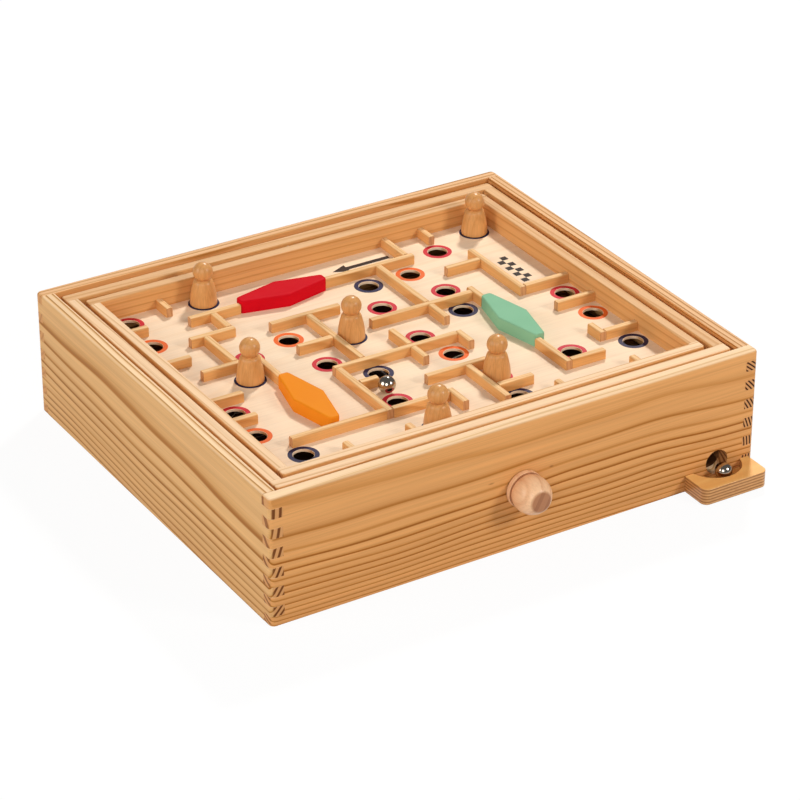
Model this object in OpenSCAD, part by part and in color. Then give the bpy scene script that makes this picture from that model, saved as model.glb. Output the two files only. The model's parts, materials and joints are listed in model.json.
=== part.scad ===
// Tilting marble maze: a dexterity puzzle in a finger-jointed wooden box.
// Millimetres. Origin at the centre of the underside, X to the right, Y to the back, Z up.
// The front knob and the ball outlet are on the -Y side, the second knob on the +X side.

/* [Box] */
// Width of the box from left to right
box_w = 371; // [335:1:405]
// Depth of the box from front to back
box_d = 324; // [294:1:355]
// Height of the box
box_h = 92; // [91:1:101]
// Thickness of the four box boards
box_wall = 9.5; // [8:0.5:10]
// Rounding of the four upright corners
corner_r = 3.5; // [0.5:0.25:4]
// Divisions of each finger joint over the height
fingers = 13; // [9:2:17]
// Thickness of the base panel
base_t = 3; // [2:0.5:3.5]

/* [Tilting frames] */
// Gap at the left and right of each tilting frame
gap_x = 3; // [2.5:0.25:3.5]
// Gap at the front and back of each tilting frame
gap_y = 3.75; // [3:0.25:4.25]
// Thickness of the outer frame's rails
frame_t = 9; // [8:0.5:9.5]
// Thickness of the maze tray's rails
tray_t = 8; // [7:0.5:8.5]
// Height of all the rails
rail_h = 25; // [23:0.5:26]
// Rounding along the top edges of the rails
rail_r = 2; // [1:0.25:2.25]
// How far the outer frame lies below the box edge
frame_drop = 1.5; // [1:0.25:2]
// How far the maze tray lies below the box edge
tray_drop = 2; // [1.5:0.25:2.5]
// Diameter of the pivot pins
pin_d = 2.5; // [2:0.25:3]
// Pivot axes below the box edge
pivot_drop = 5.5; // [5.25:0.25:6.5]

/* [Maze] */
// Thickness of the maze board
board_t = 2; // [2:0.5:4.5]
// Board surface below the tray's top edge
board_drop = 16.5; // [15:0.5:17]
// How far the board goes into the rails' grooves
board_tongue = 3; // [2:0.5:3.5]
// Width of the maze walls
wall_w = 5; // [4:0.5:5]
// Height of the maze walls
wall_h = 7; // [6:0.5:9]
// Rounding along the top edges of the maze walls
wall_r = 1.2; // [0.5:0.1:1.5]
// Diameter of the ball holes
hole_d = 14; // [13:0.5:14]
// Length of the coloured lozenges
lozenge_l = 68; // [66:1:70]
// Width of the lozenges at the middle
lozenge_w = 23; // [18:0.5:24]
// Width of the lozenges' blunt ends
lozenge_end = 7.5; // [6:0.5:9]
// Height of the lozenges
lozenge_h = 9.5; // [8:0.5:11]

/* [Pawns and balls] */
// Diameter of a pawn's foot
pawn_d = 19; // [17:0.5:19]
// Diameter of a pawn's head
pawn_head_d = 14; // [12:0.5:15]
// Height of a pawn above the board
pawn_h = 31.5; // [29:0.5:34]
// Diameter of the steel balls
ball_d = 12; // [10:0.5:12]

/* [Knobs and shafts] */
// Diameter of the knobs
knob_d = 26; // [22:0.5:28]
// Length of the knobs out from the box
knob_l = 22; // [21:0.5:23]
// Thickness of the knobs' foot disc
knob_foot = 3.8; // [3:0.2:4.6]
// Diameter of the two shafts
shaft_d = 6; // [5:0.25:6]
// Height of the front shaft
front_shaft_z = 44; // [43.5:0.25:45]
// Height of the side shaft
side_shaft_z = 36; // [35:0.25:36]

/* [Ball return] */
// Outlet hole in the front board, from the inside of the right board
outlet_in = 20.5; // [20:0.5:22]
// Height of the outlet hole's centre
outlet_z = 15.5; // [15:0.25:16]
// Diameter of the outlet hole
outlet_d = 17.5; // [16:0.25:17.5]
// Slope of the ball ramp to the right, in degrees
ramp_fall_x = 1; // [0.8:0.1:1.2]
// Slope of the ball ramp to the front, in degrees
ramp_fall_y = 1.2; // [1:0.1:1.3]
// Thickness of the ball ramp
ramp_t = 3; // [2:0.5:3]
// Width of the catch tray
catch_w = 52; // [48:1:54]
// How far the catch tray stands out
catch_d = 23; // [22:0.5:25]
// Thickness of the catch tray
catch_t = 12; // [11:0.5:13]
// Radius of the catch tray's ball pocket
pocket_r = 19.5; // [19:0.25:20]

/* [Cords] */
// Diameter of the drive cords
cord_d = 1.2; // [0.8:0.1:1.4]
// Diameter of the tension springs
spring_d = 4.8; // [4:0.2:5.2]
// Length of the tension springs
spring_l = 20; // [16:1:24]

/* [Fits] */
// Radial clearance of turning shafts and pins
run_clear = 0.05; // [0.03:0.01:0.1]
// Radial clearance of glued and pressed pieces
grip_clear = 0.02; // [0.01:0.01:0.05]
// Gap under a loose piece that rests on another
rest_clear = 0.1; // [0.05:0.05:0.3]
// End play of the shafts
end_play = 0.5; // [0.3:0.1:0.8]
// Radial clearance of a pawn's spigot in its hole
spigot_clear = 0.3; // [0.3:0.05:0.5]

/* [Hidden] */
$fn = 64;
pine = [0.85, 0.64, 0.40];
pine_pale = [0.90, 0.73, 0.50];
ply = [0.93, 0.82, 0.66];
beech = [0.80, 0.58, 0.38];
hardboard = [0.55, 0.38, 0.24];
steel = [0.72, 0.72, 0.74];
cord_white = [0.88, 0.86, 0.80];
// Half sizes of the openings and rails, from the box inwards
in_x = box_w / 2 - box_wall;
in_y = box_d / 2 - box_wall;
frame_x = in_x - gap_x;
frame_y = in_y - gap_y;
tray_x = frame_x - frame_t - gap_x;
tray_y = frame_y - frame_t - gap_y;
bx = tray_x - tray_t;
by = tray_y - tray_t;
// Heights
frame_z = box_h - frame_drop - rail_h;
tray_z = box_h - tray_drop - rail_h;
pivot_z = box_h - pivot_drop;
board_z = box_h - tray_drop - board_drop;
finger_h = box_h / fingers;
// Pins: the length held in the outer piece and in the inner one
pin_out = 6;
pin_in = 6.5;
pin_end = 0.5;
// Half of each box board stays outside the base panel
rabbet = box_wall / 2;
// The maze is planned on a board of this half width and half depth, and spreads with the board
plan = [153, 128];
function X(x) = x * bx / plan[0];
function Y(y) = y * by / plan[1];
// Half a wall, by which a wall stops short of the middle of the one that it meets
half = wall_w / 2;
// Centres of the lozenges, half their length, and the gap to the wall in front of the orange one
red_at = [X(-31), Y(94.5)];
orange_at = [X(-90.5), Y(-45.5)];
green_at = [X(84.5), Y(-20)];
reach = lozenge_l / 2;
lozenge_gap = 2;
below_orange = orange_at[1] - reach - lozenge_gap - half;
// Maze walls that run left to right: [y, from x, to x]
lengthwise = [
  [Y(97), -bx, X(-134)], [Y(45), -bx, X(-129)], [Y(-15.5), -bx, X(-123)], [Y(-45), -bx, X(-129)],
  [Y(15.5), X(115) + half, bx], [Y(-17), X(122), bx], [Y(-68), X(124.5) + half, bx],
  [Y(93), X(-104), red_at[0] - reach], [Y(66), X(-118), X(-86.5) + half],
  [Y(21.5), X(-133), X(-91) + half], [below_orange, X(-126), X(-53) - half],
  [Y(-84.5), X(-53) + half, X(-5) - half], [Y(-18.5), X(-53) - half, X(42.5) - half],
  [Y(-43.5), X(-53) + half, X(-37)], [Y(20), X(-61), X(-32) - half], [Y(57.5), X(-61), X(-7)],
  [Y(95.5), red_at[0] + reach, X(76)], [Y(66), X(85), X(115) - half], [Y(27), 0, X(83.5) - half],
  [Y(-89.5), X(82.5) + half, X(112)], [Y(-59), X(-9), X(38)], [Y(-93.5), X(22.5) + half, X(52)]
];
// Maze walls that run front to back: [x, from y, to y]
crosswise = [
  [X(-109), Y(112), by], [X(71.5), Y(95.5) + half, by], [X(102), Y(112), by],
  [X(-98.5), -by, Y(-106)], [X(-52.5), -by, Y(-107)], [X(61.5), -by, Y(-108.5)],
  [X(122.5), -by, Y(-107)], [X(-86.5), Y(66) + half, Y(93) - half],
  [X(-106.5), Y(21.5) + half, Y(66) - half], [X(-91), orange_at[1] + reach, Y(21.5) - half],
  [X(-53), below_orange - half, Y(-18.5) - half], [X(-5), Y(-102), Y(-84.5) + half],
  [X(5), Y(-37), Y(-18.5) - half], [X(42.5), Y(-34), Y(-17)],
  [X(-32), Y(-18.5) + half, Y(57.5) - half], [X(46.5), Y(27) + half, Y(95.5) - half],
  [X(115), Y(15.5) - half, Y(81)], [X(83.5), green_at[1] + reach, Y(33)],
  [X(47), Y(4), Y(27) - half], [X(5), Y(-18.5) + half, Y(8)], [X(124.5), Y(-68) - half, Y(-55)],
  [X(82.5), Y(-89.5) - half, green_at[1] - reach], [X(22.5), Y(-110), Y(-59) - half]
];
// Open ball holes
holes = [for (p = [
  [-138, 116], [-139, 80], [31, 81], [65, 81], [100, 101], [73, 47], [22, 48], [68, 16.5],
  [142, 1.5], [142, -33], [142, -81], [98, -72], [-136, -29], [-138, -61], [-124, -97],
  [-56, 41], [-51, -2], [-28, -30], [-37, -69], [22, -2], [29, -33], [-91.5, 31.5], [35, -104.5]
]) [X(p[0]), Y(p[1])]];
// Holes with a pawn standing in them: two stand close to a wall, and one close to the back rail
pawn_r = pawn_d / 2;
wall_gap = [2.4, 1.5];
rail_gap = 0.5;
pawns = [
  [X(-79.5), by - pawn_r - rail_gap], [X(-91) - half - pawn_r - wall_gap[0], Y(5.5)], [X(-18), Y(22)],
  [X(139), Y(113.5)], [X(22.5) + half + pawn_r + wall_gap[1], Y(-75)], [X(-33), Y(-112)]
];
// Radius of the arc that shapes a pawn's body, and where its neck starts
pawn_arc = 46.25;
pawn_body = 17.2;
pawn_neck = 8.8;
// Middle of the outlet hole, and where the maze ball and the returned ball lie
outlet_x = in_x - outlet_in;
caught_right = 0.5;
caught_out = 7.3;
ball_at = [X(-37), Y(-55.5)];
caught_at = [outlet_x + caught_right, -box_d / 2 - caught_out];
// Strips under the ramp: width, and how far they stay from the right, left, front and back boards
wedge_w = 12;
wedge_right = 66;
wedge_left = 11;
wedge_in = 57.5;
// Corner block: its height, its length along the right board, and its gap to the outlet
guide_h = 12;
guide_l = 32;
guide_gap = 0.5;
// Ball pocket: its centre inside the front face, and its floor above the tray's underside
pocket_in = 4.5;
pocket_floor = 5.5;
catch_z = 0.5;
catch_r = 5;
// Shafts: how far they go into the knob and into the far board
knob_hold = 14;
shaft_hold = 5;
collar_d = 12;
collar_t = 5;
// Screw eyes: wire, ring radius, stem and grip, and where they sit
eye_wire = 1.6;
eye_r = 2.4;
eye_stem = 1;
eye_grip = 7;
eye_in = 3.5;
cord_side = 1.5;
frame_cord_x = 14;
// Loops of the cord and springs: ring radius, wire, and the step from one link to the next
loop_r = 2.4;
loop_wire = 1.1;
link_step = 3;
hook_l = 1.5;
wind_l = 7;
wind_d = shaft_d + 2 * cord_d;
// The straight cord stops short of the turns on the shaft, which carry it on
cord_gap = 0.3;
cord_stop = sqrt(pow(wind_d / 2 + cord_gap, 2) - pow(shaft_d / 2, 2));
// Drive lines: centre of the eye's ring, then the line from it to the winding's underside
tray_eye = [tray_x - eye_in, tray_z - eye_stem - eye_r];
frame_eye = [frame_y - frame_t / 2, frame_z - eye_stem - eye_r];
cord_r = wind_d / 2 - cord_d / 2;
function line_angle(e, z) = atan2(e[1] - z, e[0]) + asin(cord_r / norm([e[0], e[1] - z]));
function line_length(e, z) = sqrt(e[0] * e[0] + pow(e[1] - z, 2) - cord_r * cord_r) - cord_stop;
// Height of the ramp's surface at the outlet, a little above the hole's lowest point
ramp_step = 0.25;
ramp_out_z = outlet_z - outlet_d / 2 + ramp_step;

// A bar along X with rounded top edges, centred, with its underside at z = 0
module bar(l, w, h, r) rotate([90, 0, 90]) translate([0, 0, -l / 2]) linear_extrude(l) {
  translate([-w / 2, 0]) square([w, h - r]);
  translate([r - w / 2, 0]) square([w - 2 * r, h]);
  for (s = [-1, 1]) translate([s * (w / 2 - r), h - r]) circle(r);
}

// The outside of the box, with its rounded upright corners
module box_outline() linear_extrude(box_h) {
  square([box_w - 2 * corner_r, box_d], center = true);
  square([box_w, box_d - 2 * corner_r], center = true);
  for (x = [-1, 1], y = [-1, 1])
    translate([x * (box_w / 2 - corner_r), y * (box_d / 2 - corner_r)]) circle(corner_r);
}

// The corner cells of the finger joints: first = 0 or 1 picks the even or the odd ones
module corner_cells(first)
  for (i = [first : 2 : fingers - 1], x = [-1, 1], y = [-1, 1])
    translate([x * (box_w - box_wall) / 2, y * (box_d - box_wall) / 2, i * finger_h])
      translate([-box_wall / 2 - (x < 0 ? 1 : 0), -box_wall / 2 - (y < 0 ? 1 : 0), i == 0 ? -1 : 0])
        cube([box_wall + 1, box_wall + 1, finger_h + (i == 0 ? 1 : 0) + (i == fingers - 1 ? 1 : 0)]);

// The space of the base panel, let into the box boards from below
module base_space(below) translate([rabbet - box_w / 2, rabbet - box_d / 2, -below])
  cube([box_w - 2 * rabbet, box_d - 2 * rabbet, base_t + below]);

// A front or back board: full width, the side boards' fingers cut out of its ends
module long_board(side) difference() {
  intersection() {
    box_outline();
    translate([-box_w, side > 0 ? in_y : -box_d, -1]) cube([2 * box_w, box_d - in_y, box_h + 2]);
  }
  corner_cells(1);
  base_space(1);
}

// A left or right board: between the others, with its own fingers in the corners
module short_board(side) difference() {
  intersection() {
    box_outline();
    translate([side > 0 ? in_x : -box_w, -box_d, -1]) cube([box_w - in_x, 2 * box_d, box_h + 2]);
  }
  corner_cells(0);
  base_space(1);
}

module front_shaft_at() translate([0, 0, front_shaft_z]) rotate([90, 0, 0]) children();
module side_shaft_at() translate([0, 0, side_shaft_z]) rotate([0, 90, 0]) children();

module box_front() color(pine) difference() {
  long_board(-1);
  front_shaft_at() cylinder(d = shaft_d + 2 * run_clear, h = box_d);
  translate([outlet_x, 0, outlet_z]) rotate([90, 0, 0]) cylinder(d = outlet_d, h = box_d);
}

module box_back() color(pine) difference() {
  long_board(1);
  front_shaft_at() translate([0, 0, -in_y - shaft_hold - end_play])
    cylinder(d = shaft_d + 2 * run_clear, h = in_y);
}

// A pin hole from the gap outwards, and one inwards, at the middle of a side
module pin_hole_out(from, deep, clear) translate([from, 0, pivot_z]) rotate([0, 90, 0])
  cylinder(d = pin_d + 2 * clear, h = deep);

module box_left() color(pine) difference() {
  short_board(-1);
  side_shaft_at() translate([0, 0, -in_x - shaft_hold - end_play])
    cylinder(d = shaft_d + 2 * run_clear, h = in_x);
  mirror([1, 0, 0]) pin_hole_out(in_x - 1, pin_out + 1, grip_clear);
}

module box_right() color(pine) difference() {
  short_board(1);
  side_shaft_at() cylinder(d = shaft_d + 2 * run_clear, h = box_w);
  pin_hole_out(in_x - 1, pin_out + 1, grip_clear);
}

module base_panel() color(hardboard) base_space(0);

// The sloping plane of the ball ramp: children stand on it at the outlet
module on_ramp() translate([outlet_x, -in_y, ramp_out_z])
  rotate([ramp_fall_y, ramp_fall_x, 0]) children();

module ball_ramp() color(hardboard) intersection() {
  on_ramp() translate([-2 * box_w, -box_d, -ramp_t]) cube([3 * box_w, 3 * box_d, ramp_t]);
  translate([end_play - in_x, end_play - in_y, 0])
    cube([2 * (in_x - end_play), 2 * (in_y - end_play), box_h]);
}

// Two tapered strips that carry the ramp on the base panel
module ramp_wedges() color(pine) intersection() {
  on_ramp() translate([-2 * box_w, -box_d, -ramp_t - box_h]) cube([3 * box_w, 3 * box_d, box_h]);
  for (s = [-1, 1])
    translate([wedge_left - in_x, s * (in_y - wedge_in) - wedge_w / 2, base_t])
      cube([2 * in_x - wedge_left - wedge_right, wedge_w, box_h]);
}

// A corner block that steers the ball to the outlet
module outlet_guide() color(pine) intersection() {
  on_ramp() translate([-box_w, -box_d, 0]) cube([2 * box_w, 2 * box_d, guide_h]);
  linear_extrude(box_h) polygon([
    [in_x, -in_y], [in_x, guide_l - in_y], [outlet_x + outlet_d / 2 + guide_gap, -in_y]
  ]);
}

module catch_tray() color(ply) difference() {
  translate([outlet_x - catch_w / 2, -box_d / 2 - catch_d, catch_z]) linear_extrude(catch_t) {
    translate([0, catch_r]) square([catch_w, catch_d - catch_r]);
    translate([catch_r, 0]) square([catch_w - 2 * catch_r, catch_d]);
    for (x = [catch_r, catch_w - catch_r]) translate([x, catch_r]) circle(catch_r);
  }
  translate([outlet_x, pocket_in - box_d / 2, catch_z + pocket_floor]) cylinder(r = pocket_r, h = box_h);
}

module frame_pivot_pins() color(steel) for (s = [0, 1]) mirror([s, 0, 0])
  translate([frame_x - pin_in, 0, pivot_z]) rotate([0, 90, 0])
    cylinder(d = pin_d, h = pin_in + gap_x + pin_out);

module tray_pivot_pins() color(steel) for (s = [0, 1]) mirror([0, s, 0])
  translate([0, tray_y - pin_in, pivot_z]) rotate([-90, 0, 0])
    cylinder(d = pin_d, h = pin_in + gap_y + pin_out);

// Bores for the pins that carry a frame, and for those that it carries
module frame_bores() {
  for (s = [0, 1]) mirror([s, 0, 0])
    pin_hole_out(frame_x - pin_in - pin_end, pin_in + pin_end + 1, run_clear);
  for (s = [0, 1]) mirror([0, s, 0])
    rotate(90) pin_hole_out(tray_y + gap_y - 1, pin_out + 1, grip_clear);
}

module tray_bores() for (s = [0, 1]) mirror([0, s, 0])
  rotate(90) pin_hole_out(tray_y - pin_in - pin_end, pin_in + pin_end + 1, run_clear);

// A screw eye below z = 0, with its ring in the XZ plane
module screw_eye() {
  translate([0, 0, -eye_stem - eye_wire / 2])
    cylinder(d = eye_wire, h = eye_stem + eye_wire / 2 + eye_grip);
  translate([0, 0, -eye_stem - eye_r]) rotate([90, 0, 0]) rotate_extrude()
    translate([eye_r, 0]) circle(d = eye_wire, $fn = 32);
}

module frame_eye_at() for (s = [-1, 1])
  translate([frame_cord_x + s * cord_side, s * frame_eye[0], frame_z]) rotate(90) children();
module tray_eye_at() for (s = [-1, 1])
  translate([s * tray_eye[0], s * cord_side, tray_z]) children();
module eye_bore() translate([0, 0, -1]) cylinder(d = eye_wire + 2 * grip_clear, h = eye_grip + 1);

module frame_front() color(pine_pale) difference() {
  translate([0, frame_t / 2 - frame_y, frame_z]) bar(2 * frame_x, frame_t, rail_h, rail_r);
  frame_bores();
  frame_eye_at() eye_bore();
}

module frame_back() color(pine_pale) difference() {
  translate([0, frame_y - frame_t / 2, frame_z]) bar(2 * frame_x, frame_t, rail_h, rail_r);
  frame_bores();
  frame_eye_at() eye_bore();
}

module frame_left() color(pine_pale) difference() {
  translate([frame_t / 2 - frame_x, 0, frame_z]) rotate(90)
    bar(2 * (frame_y - frame_t), frame_t, rail_h, rail_r);
  frame_bores();
}

module frame_right() color(pine_pale) difference() {
  translate([frame_x - frame_t / 2, 0, frame_z]) rotate(90)
    bar(2 * (frame_y - frame_t), frame_t, rail_h, rail_r);
  frame_bores();
}

module board_space() translate([-bx - board_tongue, -by - board_tongue, board_z - board_t])
  cube([2 * (bx + board_tongue), 2 * (by + board_tongue), board_t]);

module tray_front() color(pine_pale) difference() {
  translate([0, tray_t / 2 - tray_y, tray_z]) bar(2 * tray_x, tray_t, rail_h, rail_r);
  board_space();
  tray_bores();
}

module tray_back() color(pine_pale) difference() {
  translate([0, tray_y - tray_t / 2, tray_z]) bar(2 * tray_x, tray_t, rail_h, rail_r);
  board_space();
  tray_bores();
}

module tray_left() color(pine_pale) difference() {
  translate([tray_t / 2 - tray_x, 0, tray_z]) rotate(90) bar(2 * by, tray_t, rail_h, rail_r);
  board_space();
  tray_eye_at() eye_bore();
}

module tray_right() color(pine_pale) difference() {
  translate([tray_x - tray_t / 2, 0, tray_z]) rotate(90) bar(2 * by, tray_t, rail_h, rail_r);
  board_space();
  tray_eye_at() eye_bore();
}

module maze_board() color(ply) difference() {
  board_space();
  for (p = concat(holes, pawns)) translate([p[0], p[1], board_z - board_t - 1])
    cylinder(d = hole_d, h = board_t + 2);
}

module lengthwise_walls() color(pine_pale) for (w = lengthwise)
  translate([(w[1] + w[2]) / 2, w[0], board_z]) bar(w[2] - w[1], wall_w, wall_h, wall_r);

module crosswise_walls() color(pine_pale) for (w = crosswise)
  translate([w[0], (w[1] + w[2]) / 2, board_z]) rotate(90) bar(w[2] - w[1], wall_w, wall_h, wall_r);

// A six-sided block with blunt ends, along X
module lozenge(at, turn) translate([at[0], at[1], board_z]) rotate(turn) linear_extrude(lozenge_h)
  polygon([
    [-lozenge_l / 2, -lozenge_end / 2], [0, -lozenge_w / 2], [lozenge_l / 2, -lozenge_end / 2],
    [lozenge_l / 2, lozenge_end / 2], [0, lozenge_w / 2], [-lozenge_l / 2, lozenge_end / 2]
  ]);

module red_lozenge() color([0.78, 0.08, 0.14]) lozenge(red_at, 0);
module orange_lozenge() color([0.95, 0.55, 0.14]) lozenge(orange_at, 90);
module green_lozenge() color([0.55, 0.78, 0.64]) lozenge(green_at, 90);

// A tied or bent loop in the XY plane
module loop(wire) rotate_extrude() translate([loop_r, 0]) circle(d = wire, $fn = 32);

// Cord from its loop at x = at to the winding at x = to
module cord_line(at, to, turn) {
  translate([at, 0, 0]) rotate([turn, 0, 0]) loop(loop_wire);
  translate([at + loop_r, 0, 0]) rotate([0, 90, 0]) cylinder(d = cord_d, h = to - at - loop_r);
}

// Where the spring's far loop and the cord's loop behind it lie
spring_far = link_step + 2 * (loop_r + hook_l) + spring_l;

// A tension spring with a hook loop at each end
module spring_body() {
  for (x = [link_step, spring_far]) translate([x, 0, 0]) loop(loop_wire);
  translate([link_step + loop_r, 0, 0]) rotate([0, 90, 0])
    cylinder(d = cord_d, h = spring_far - link_step - 2 * loop_r);
  translate([link_step + loop_r + hook_l, 0, 0]) rotate([0, 90, 0])
    cylinder(d = spring_d, h = spring_l);
}

// Drive lines run along local +X from the eye's ring down to the winding
module tray_line(s) translate([s * tray_eye[0], s * cord_side, tray_eye[1]])
  rotate(s > 0 ? 180 : 0) rotate([0, line_angle(tray_eye, front_shaft_z), 0]) children();
module frame_line(s) translate([frame_cord_x + s * cord_side, s * frame_eye[0], frame_eye[1]])
  rotate(s > 0 ? -90 : 90) rotate([0, line_angle(frame_eye, side_shaft_z), 0]) children();

module tray_eyes() color(steel) tray_eye_at() screw_eye();
module tray_spring() color(steel) tray_line(-1) spring_body();
module tray_cord() color(cord_white) {
  tray_line(1) cord_line(link_step, line_length(tray_eye, front_shaft_z), 0);
  tray_line(-1) cord_line(spring_far + link_step, line_length(tray_eye, front_shaft_z), 90);
}

module frame_eyes() color(steel) frame_eye_at() screw_eye();
module frame_spring() color(steel) frame_line(1) spring_body();
module frame_cord() color(cord_white) {
  frame_line(-1) cord_line(link_step, line_length(frame_eye, side_shaft_z), 0);
  frame_line(1) cord_line(spring_far + link_step, line_length(frame_eye, side_shaft_z), 90);
}

// A turned knob on a foot disc, with a blind bore, along +Z from its foot
module knob() rotate_extrude() difference() {
  intersection() {
    union() {
      translate([0, knob_l / 2]) circle(d = knob_d);
      square([knob_d / 2, knob_foot]);
    }
    square([knob_d, knob_l]);
  }
  polygon([
    [knob_d / 2 + 1, knob_foot - 0.4], [knob_d / 2 - 3.2, knob_foot + 0.4],
    [knob_d / 2 + 1, knob_foot + 2]
  ]);
  translate([0, -1]) square([shaft_d / 2 + grip_clear, knob_hold + 1]);
}

// A ring round a shaft
module ring(d, l) difference() {
  cylinder(d = d, h = l);
  translate([0, 0, -1]) cylinder(d = shaft_d + 2 * grip_clear, h = l + 2);
}

module front_shaft() color(steel) front_shaft_at() translate([0, 0, -in_y - shaft_hold])
  cylinder(d = shaft_d, h = in_y + shaft_hold + box_d / 2 + end_play + knob_hold);
module front_knob() color(beech) front_shaft_at() translate([0, 0, box_d / 2 + end_play]) knob();
module front_collar() color(steel) front_shaft_at()
  translate([0, 0, in_y - end_play - collar_t]) ring(collar_d, collar_t);
module front_winding() color(cord_white) front_shaft_at()
  translate([0, 0, -wind_l / 2]) ring(wind_d, wind_l);

module side_shaft() color(steel) side_shaft_at() translate([0, 0, -in_x - shaft_hold])
  cylinder(d = shaft_d, h = in_x + shaft_hold + box_w / 2 + end_play + knob_hold);
module side_knob() color(beech) side_shaft_at() translate([0, 0, box_w / 2 + end_play]) knob();
module side_collar() color(steel) side_shaft_at()
  translate([0, 0, in_x - end_play - collar_t]) ring(collar_d, collar_t);
module side_winding() color(cord_white) side_shaft_at()
  translate([0, 0, frame_cord_x - wind_l / 2]) ring(wind_d, wind_l);

module maze_ball() color(steel)
  translate([ball_at[0], ball_at[1], board_z + rest_clear + ball_d / 2]) sphere(d = ball_d);
module outlet_ball() color(steel)
  translate([caught_at[0], caught_at[1], catch_z + pocket_floor + rest_clear + ball_d / 2])
    sphere(d = ball_d);

// A turned pawn with a spigot that plugs a ball hole
module pawn(i) color(beech) translate([pawns[i][0], pawns[i][1], board_z + rest_clear]) {
  rotate_extrude() intersection() {
    union() {
      intersection() {
        translate([pawn_d / 2 - pawn_arc, 0]) circle(pawn_arc, $fn = 256);
        square([pawn_d, pawn_body]);
      }
      square([pawn_neck / 2, pawn_h - pawn_head_d + 1.8]);
      translate([0, pawn_h - pawn_head_d / 2]) circle(d = pawn_head_d);
    }
    square([pawn_d, pawn_h + 1]);
  }
  translate([0, 0, -board_t]) cylinder(d = hole_d - 2 * spigot_clear, h = board_t + 1);
}

module pawn_1() pawn(0);
module pawn_2() pawn(1);
module pawn_3() pawn(2);
module pawn_4() pawn(3);
module pawn_5() pawn(4);
module pawn_6() pawn(5);

box_front();
box_back();
box_left();
box_right();
base_panel();
ball_ramp();
ramp_wedges();
outlet_guide();
catch_tray();
frame_pivot_pins();
frame_front();
frame_back();
frame_left();
frame_right();
tray_pivot_pins();
frame_eyes();
frame_spring();
frame_cord();
tray_front();
tray_back();
tray_left();
tray_right();
maze_board();
lengthwise_walls();
crosswise_walls();
red_lozenge();
orange_lozenge();
green_lozenge();
tray_eyes();
tray_spring();
tray_cord();
front_shaft();
front_knob();
front_collar();
front_winding();
side_shaft();
side_knob();
side_collar();
side_winding();
maze_ball();
outlet_ball();
pawn_1();
pawn_2();
pawn_3();
pawn_4();
pawn_5();
pawn_6();
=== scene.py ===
import json
import math

import bmesh
import bpy
from mathutils import Matrix, Vector


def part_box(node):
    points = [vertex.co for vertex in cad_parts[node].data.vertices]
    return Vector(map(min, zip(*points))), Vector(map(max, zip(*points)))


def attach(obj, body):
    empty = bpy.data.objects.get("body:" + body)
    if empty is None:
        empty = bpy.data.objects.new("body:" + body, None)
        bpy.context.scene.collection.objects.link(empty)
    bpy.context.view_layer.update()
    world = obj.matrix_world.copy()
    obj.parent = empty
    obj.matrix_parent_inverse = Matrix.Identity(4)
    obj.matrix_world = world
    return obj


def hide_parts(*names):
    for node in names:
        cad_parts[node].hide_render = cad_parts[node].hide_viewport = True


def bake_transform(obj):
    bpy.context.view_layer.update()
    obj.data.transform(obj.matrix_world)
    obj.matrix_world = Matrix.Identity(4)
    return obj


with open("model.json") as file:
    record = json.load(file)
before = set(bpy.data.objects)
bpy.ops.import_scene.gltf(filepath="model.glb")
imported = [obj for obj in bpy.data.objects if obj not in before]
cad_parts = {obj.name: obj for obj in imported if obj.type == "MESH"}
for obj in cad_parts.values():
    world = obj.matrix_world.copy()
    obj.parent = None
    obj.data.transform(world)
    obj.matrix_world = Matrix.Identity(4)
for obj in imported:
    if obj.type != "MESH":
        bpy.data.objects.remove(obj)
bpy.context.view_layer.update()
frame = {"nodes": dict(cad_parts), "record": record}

# Box boards: four planed pine boards with finger joints glued at the corners.
# Flat-sawn faces show growth rings that crowd towards the lower edge, and the rims are eased.
MM = 0.001
SHARP = math.radians(30)
SMOOTH_BELOW = math.radians(40)
FLAT_WITHIN = math.radians(0.4)
WELD = 0.002 * MM
CUT_WITHIN = 0.0001 * MM
DYE_STEPS = 4


def colour(red, green, blue):
    """An sRGB colour, 0 to 255, as the linear RGBA that a shader takes."""
    shares = [c / 255 for c in (red, green, blue)]
    return tuple(c / 12.92 if c <= 0.04045 else ((c + 0.055) / 1.055) ** 2.4 for c in shares) + (1.0,)


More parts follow.
